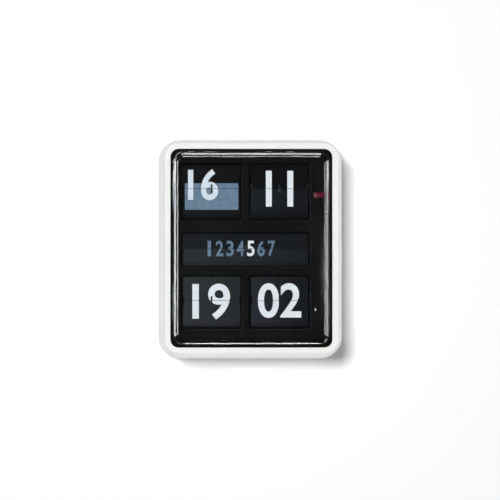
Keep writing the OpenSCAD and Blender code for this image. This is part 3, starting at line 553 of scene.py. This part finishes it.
def piece(bm, name, finishes, body, crease=35.0, weighted=False):
    """Closes a mesh in millimetres, brings it to metres and lets it ride on a body."""
    bmesh.ops.remove_doubles(bm, verts=bm.verts, dist=0.0005)
    bmesh.ops.recalc_face_normals(bm, faces=bm.faces)
    bmesh.ops.scale(bm, vec=(MM, MM, MM), verts=bm.verts)
    mesh = bpy.data.meshes.new(name)
    bm.to_mesh(mesh)
    bm.free()
    for finish in finishes:
        mesh.materials.append(finish)
    mesh.shade_smooth()
    mesh.set_sharp_from_angle(angle=math.radians(crease))
    made = put(name, mesh)
    if weighted:
        normals = made.modifiers.new("normals", "WEIGHTED_NORMAL")
        normals.keep_sharp = True
    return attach(made, body)


def boss(bm, x, z):
    """A screw boss: a tube turned about its own line."""
    profile = [(BOSS_BORE, BOSS_BASE), (BOSS_R, BOSS_BASE), (BOSS_R, BOSS_TIP),
               (BOSS_BORE, BOSS_TIP)]
    points = [bm.verts.new((x + r, y, z)) for r, y in profile]
    edges = [bm.edges.new((a, b)) for a, b in zip(points, points[1:] + points[:1])]
    bmesh.ops.spin(bm, geom=points + edges, cent=(x, 0, z), axis=(0, 1, 0), angle=math.tau,
                   steps=24, use_merge=True)


def make_case():
    """Case: sides that widen to the wall, flat rim with soft edges, lip, open back and four
    screw bosses."""
    bm = bmesh.new()
    depth = WALL_Y - RIM_Y
    shoulder = CASE_WALL + CASE_TAPER * (depth - CASE_LIP) / depth
    rear = case_ring(bm, 0.0, WALL_Y)
    front = case_ring(bm, CASE_TAPER, RIM_Y)
    mouth = case_ring(bm, CASE_TAPER + CASE_RIM, RIM_Y)
    throat = case_ring(bm, CASE_TAPER + CASE_RIM, RIM_Y + CASE_LIP)
    inside = case_ring(bm, shoulder, RIM_Y + CASE_LIP)
    inner = case_ring(bm, CASE_WALL, WALL_Y)
    rings = [rear, front, mouth, throat, inside, inner]
    for first, second in zip(rings, rings[1:] + rings[:1]):
        bmesh.ops.bridge_loops(bm, edges=first + second)
    bmesh.ops.recalc_face_normals(bm, faces=bm.faces)
    soften(bm, front, size=0.5, segments=3)
    soften(bm, mouth, size=0.6, segments=4)
    soften(bm, rear + inner, size=0.4, segments=2)
    boss_x = CASE_W / 2 - CASE_R + BOSS_OUT
    boss_z = CASE_H / 2 - CASE_R + BOSS_OUT
    for side in (-1, 1):
        for end in (-1, 1):
            boss(bm, side * boss_x, MIDDLE_Z + end * boss_z)
    made = piece(bm, "case_moulding", [WHITE], "case", weighted=True)
    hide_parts("case_shell")


def make_lens():
    """Lens: a shallow tray of clear sheet with a rounded edge and a flange behind the lip."""
    bm = bmesh.new()
    front = lens_ring(bm, 0.0, LENS_FRONT, keep=True)
    back = lens_ring(bm, LENS_T, LENS_FRONT + LENS_T, keep=True)
    rings = [front, lens_ring(bm, 0.0, FLANGE_FRONT), case_ring(bm, FLANGE_IN, FLANGE_FRONT),
             case_ring(bm, FLANGE_IN, FLANGE_BACK), lens_ring(bm, LENS_T, FLANGE_BACK), back]
    for first, second in zip(rings, rings[1:]):
        bmesh.ops.bridge_loops(bm, edges=first + second)
    bmesh.ops.recalc_face_normals(bm, faces=bm.faces)
    soften(bm, front, LENS_EDGE, segments=14)
    soften(bm, back, LENS_INNER_EDGE, segments=10)
    made = piece(bm, "lens_cover", [LENS], "case", crease=50.0, weighted=True)
    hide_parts("lens")


def make_spring(name):
    """Return spring of a setting button: round wire wound on five turns."""
    node, joint = name + "_button_spring", name + "_press"
    low, high = (corner / MM for corner in map(Vector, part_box(node)))
    middle = (low + high) / 2
    wire, turns, steps = 0.25, 5, 20
    length = high.y - low.y
    rise = (length - 2 * wire) / (turns * steps)
    bm = bmesh.new()
    bmesh.ops.create_circle(bm, cap_ends=True, segments=8, radius=wire)
    bmesh.ops.translate(bm, vec=(high.x - wire, low.y + wire, middle.z), verts=bm.verts)
    bmesh.ops.spin(bm, geom=everything(bm), cent=middle, axis=(0, -1, 0), dvec=(0, rise, 0),
                   angle=turns * math.tau, steps=turns * steps)
    made = piece(bm, name + "_spring_coil", [STEEL], "case", crease=60.0)
    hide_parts(node)
    joints = {j["name"]: j for j in frame["record"]["behaviour"]["joints"]}
    travel = joints[joint]["range_m"][1] / MM
    1 - travel / length
    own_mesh(made)


# Figures on the leaves. A drawing is a list of text, centre, size, layer and ink.

def block(centre, size):
    """A plain block of colour as a flat mesh in millimetres, upright in the plane of the leaves."""
    bm = bmesh.new()
    bmesh.ops.create_grid(bm, x_segments=1, y_segments=1, size=0.5)
    bmesh.ops.scale(bm, vec=(size[0], size[1], 1), verts=bm.verts)
    round_corners(bm, list(bm.verts), radius=1.0, segments=4)
    stand_up(bm, bm.verts)
    bmesh.ops.translate(bm, vec=(centre[0], 0, centre[1]), verts=bm.verts)
    return bm


def figure(text, centre, size):
    """Plain figures as a flat mesh in millimetres, upright in the plane of the leaves."""
    curve = bpy.data.curves.new("figure", "FONT")
    curve.body = text
    curve.offset = 0.02
    curve.resolution_u = 5
    holder = bpy.data.objects.new("figure", curve)
    mesh = bpy.data.meshes.new_from_object(holder)
    bm = bmesh.new()
    bm.from_mesh(mesh)
    bpy.data.objects.remove(holder)
    bpy.data.curves.remove(curve)
    bpy.data.meshes.remove(mesh)
    bmesh.ops.remove_doubles(bm, verts=bm.verts, dist=1e-5)
    low = Vector([min(v.co[i] for v in bm.verts) for i in range(3)])
    high = Vector([max(v.co[i] for v in bm.verts) for i in range(3)])
    stretch = (size[0] / (high.x - low.x), size[1] / (high.y - low.y), 1)
    bmesh.ops.translate(bm, vec=-(low + high) / 2, verts=bm.verts)
    bmesh.ops.scale(bm, vec=stretch, verts=bm.verts)
    stand_up(bm, bm.verts)
    bmesh.ops.translate(bm, vec=(centre[0], 0, centre[1]), verts=bm.verts)
    return bm


def join(first, second):
    """Adds the second mesh to the first."""
    part = bpy.data.meshes.new("joined")
    second.to_mesh(part)
    second.free()
    first.from_mesh(part)
    bpy.data.meshes.remove(part)
    return first


def half_print(unit, drawing, upper):
    """One half of a drawing as thin films on the front of a shown leaf, clear of the pivot slit."""
    whole = bmesh.new()
    side = 1 if upper else -1
    for text, centre, size, layer, ink in drawing:
        bm = figure(text, centre, size) if text else block(centre, size)
        bmesh.ops.bisect_plane(bm, geom=everything(bm), plane_co=(0, 0, unit["z"] + side * SPLIT),
                               plane_no=(0, 0, side), clear_inner=True)
        for x in (-SLIT, SLIT):
            bmesh.ops.bisect_plane(bm, geom=everything(bm), plane_co=(unit["x"] + x, 0, 0),
                                   plane_no=(1, 0, 0))
        bmesh.ops.bisect_plane(bm, geom=everything(bm),
                               plane_co=(0, 0, unit["z"] + side * SLIT_H), plane_no=(0, 0, 1))
        over = [f for f in bm.faces if abs(f.calc_center_median().x - unit["x"]) < SLIT
                and abs(f.calc_center_median().z - unit["z"]) < SLIT_H]
        bmesh.ops.delete(bm, geom=over, context="FACES")
        front = LEAF_Y - LEAF_T / 2 - layer * INK_STEP
        bmesh.ops.translate(bm, vec=(0, front, 0), verts=bm.verts)
        grown = bmesh.ops.extrude_face_region(bm, geom=list(bm.faces), use_keep_orig=True)["geom"]
        bmesh.ops.translate(bm, vec=(0, -INK_T, 0), verts=points_of(grown))
        for f in bm.faces:
            f.material_index = ink
        join(whole, bm)
    return whole


def swing(bm, depth, height, degrees):
    """Turns a mesh about a level line."""
    bmesh.ops.rotate(bm, cent=(0, depth, height),
                     matrix=Matrix.Rotation(math.radians(degrees), 3, "X"), verts=bm.verts)
    return bm


def print_unit(name, now, after):
    """Figures of a unit: this value on the shown leaves, the next one on the back of the falling
    leaf and on the leaf behind it."""
    unit = UNITS[name]
    axis = LEAF_Y + unit["reach"]
    falling = join(half_print(unit, now, True),
                   swing(half_print(unit, after, False), LEAF_Y, unit["z"], 180))
    piece(falling, name + "_figures_front", INKS, name + "_leaf")
    stack = join(half_print(unit, now, False),
                 swing(half_print(unit, after, True), axis, unit["z"], -360 / unit["count"]))
    piece(stack, name + "_figures_stack", INKS, name + "_drum")


def pair(name, text, width, height, shift=(0.0, 0.0), layer=0, ink=WHITE_INK):
    """Two plain figures on a leaf."""
    unit = UNITS[name]
    centre = (unit["x"] + shift[0], unit["z"] + shift[1])
    return [(text, centre, (width, height), layer, ink)]


def hour(text, width):
    """Hour figures to the left and above the split, on a plain slate block that fills most of
    the lower leaf."""
    unit = UNITS["hour"]
    block_w, block_h, block_drop = 56.6, 28.0, 8.3
    height, shift = 33.0, (-9.0, 4.2)
    base = ("", (unit["x"], unit["z"] - block_drop), (block_w, block_h), 0, SLATE_INK)
    return [base] + pair("hour", text, width, height, shift, 1, HOUR_INK)


def week(day):
    """The days of the week as the figures 1 to 7, today's in white."""
    unit = UNITS["weekday"]
    pitch, middle, height, narrow, broad = 11.0, 4.5, 16.5, 3.6, 7.9
    return [(str(n), (unit["x"] + (n - middle) * pitch, unit["z"]),
             (narrow if n == 1 else broad, height), 0, WHITE_INK if n == day else SLATE_INK)
            for n in range(1, 8)]


def make_figures():
    print_unit("hour", hour("16", 32.0), hour("17", 30.0))
    print_unit("minute", pair("minute", "11", 29, 38), pair("minute", "12", 38, 38))
    print_unit("weekday", week(5), week(6))
    print_unit("date", pair("date", "19", 40, 38, (-0.4, -1.0)),
               pair("date", "20", 46, 38, (0.0, -1.0)))
    print_unit("month", pair("month", "02", 46, 37), pair("month", "03", 46, 37))


# Stage

def wall_paint():
    """Pale paint that looks whiter than it lights the case, clear from behind."""
    f = Finish("wall_paint")
    lit_tone, seen_tone, glow = 0.68, 0.98, 0.055
    seen = f.most(f.path("Is Camera Ray"), f.mirrored())
    tone = f.mix(seen, grey(lit_tone), grey(seen_tone))
    paint = f.add("ShaderNodeBsdfDiffuse", {}, {"Color": tone})
    lift = f.add("ShaderNodeEmission", {}, {"Color": grey(1.0), "Strength": glow * seen})
    both = f.add("ShaderNodeAddShader", {}, {0: paint, 1: lift})
    return f.out(f.either(f.geometry("Backfacing"), both, f.clear()))


def wall_behind():
    """The wall behind the case, painted near black as the shade behind the case, and seen only
    through its openings.
    """
    f = Finish("wall_behind")
    # Painted shade: the wall behind the case is painted near black
    paint = f.add("ShaderNodeBsdfDiffuse", {}, {"Color": grey(0.03)})
    return f.out(f.either(f.most(f.geometry("Backfacing"), f.let_by()), paint, f.clear()))


def make_wall():
    """Pale wall that the clock hangs on, in one sheet with the patch behind the case, which is
    painted near black as shade.
    """
    inset, gap, spread = 0.1, 0.2, (14, 1, 12)
    bm = bmesh.new()
    near = case_ring(bm, inset, WALL_Y + gap, keep=True)
    grown = bmesh.ops.extrude_edge_only(bm, edges=near)["geom"]
    bmesh.ops.scale(bm, vec=spread, space=Matrix.Translation((0, 0, -MIDDLE_Z)),
                    verts=points_of(grown))
    bmesh.ops.scale(bm, vec=(MM, MM, MM), verts=bm.verts)
    for face in bm.faces:
        face.material_index = int(len(face.verts) > 4)
        if face.normal.y > 0:
            face.normal_flip()
    mesh = bpy.data.meshes.new("wall")
    bm.to_mesh(mesh)
    bm.free()
    wall = put("wall", mesh)
    mesh.materials.append(wall_paint())
    mesh.materials.append(wall_behind())


def make_room():
    """The room: soft light from all round, and lamps beside, above and below the camera that
    show in the lens's rounded edges."""
    world = bpy.data.worlds.new("room")
    SCENE.world = world
    f = Finish("room", world)
    way = f.add("ShaderNodeTexCoord", output="Generated")
    ahead = f.share(way, "Y") * -1
    side = f.share(way, "X")
    up = f.share(way, "Z")

    # What matt surfaces see: a soft room, brighter to the right and below, dark by the camera
    around = 1.8 + 1.0 * side - 1.75 * up - 0.15 * f.ramp(up, 0.2, 0.8)
    around = f.most(around + 1.5 * f.ramp(side, 0.4, 0.9), 0.0)
    front = f.ramp(ahead, -0.3, -0.06)
    before = around * (1 - f.ramp(ahead, 0.08, 0.26)) + 0.03
    behind = 0.66 + 0.24 * up - 0.12 * side
    ring = before * front + behind * (1 - front)

    # What gloss mirrors: lamps on the left, on the right, at the top, and low in front
    wide, tall = f.size(side), f.size(up)
    beside = f.ramp(wide - 3.0 * tall, -0.06, 0.2)
    above = f.ramp(tall - 3.0 * wide, -0.06, 0.2)
    left = beside * (side < 0) * f.ramp(ahead, 0.12, 0.32) * (1 - f.ramp(ahead, 0.82, 0.94))
    right = RIGHT_EDGE_LAMP * f.ramp(side, 0.0524, 0.0548) + RIGHT_LAMP * f.ramp(side, 0.06, 0.2)
    right = beside * f.ramp(ahead, 0.3, 0.4) * right
    top = above * (up > 0) * f.ramp(ahead, 0.22, 0.42) * (1 - f.ramp(ahead, 0.82, 0.92))
    near_edge = f.ramp(ahead, 0.02, 0.22)
    floor = above * f.ramp(ahead, -0.28, -0.08) * (1 - near_edge)
    strip = (1 - f.ramp(f.size(side - 0.012), 0.05, 0.08)) * near_edge
    strip = strip * (1 - f.ramp(ahead, 0.36, 0.43))
    outer_face = f.path("Ray Depth") < OUTER_FACE
    low = (up < 0) * outer_face * (floor * FLOOR_LAMP + strip * STRIP_LAMP)
    lamps = left * LEFT_LAMP + right + top * TOP_LAMP + low + 0.02

    # The lamps for mirrored rays, the soft room for all others, a plain pale ground for the camera
    mirrored = f.path("Is Glossy Ray") * (f.path("Ray Depth") < BOTH_FACES)
    level = ring * (1 - mirrored) + lamps * mirrored
    room = f.add("ShaderNodeBackground", {}, {"Color": grey(1.0), "Strength": level})
    pale = f.add("ShaderNodeBackground", {}, {"Color": grey(0.94), "Strength": 1.0})
    f.out(f.either(f.path("Is Camera Ray"), room, pale))


def look_at(made, place, aim):
    made.location = place
    made.rotation_euler = (Vector(aim) - made.location).to_track_quat("-Z", "Y").to_euler()


def make_key():
    """Soft main lamp from the upper left, far in front."""
    lamp = bpy.data.lights.new("key", "AREA")
    lamp.shape = "SQUARE"
    lamp.size = 0.68
    lamp.energy = 136.5
    key = put("key", lamp)
    key.visible_glossy = False
    look_at(key, place=(-0.72, -3.78, 0.5), aim=(0, 0, MIDDLE_Z * MM))


def make_camera():
    """Camera at the photograph's viewing angle."""
    data = bpy.data.cameras.new("camera")
    data.sensor_width = 36.0
    data.lens = 131.3
    camera = put("camera", data)
    look_at(camera, place=(-0.029, -1.996, -0.1136), aim=(-0.0002, 0.004, -0.0888))
    SCENE.camera = camera


dress_nodes()
make_case()
make_lens()
for button in ("hour", "weekday", "date", "month"):
    make_spring(button)
make_figures()
make_wall()
make_room()
make_key()
make_camera()
SCENE.view_settings.view_transform = "Standard"
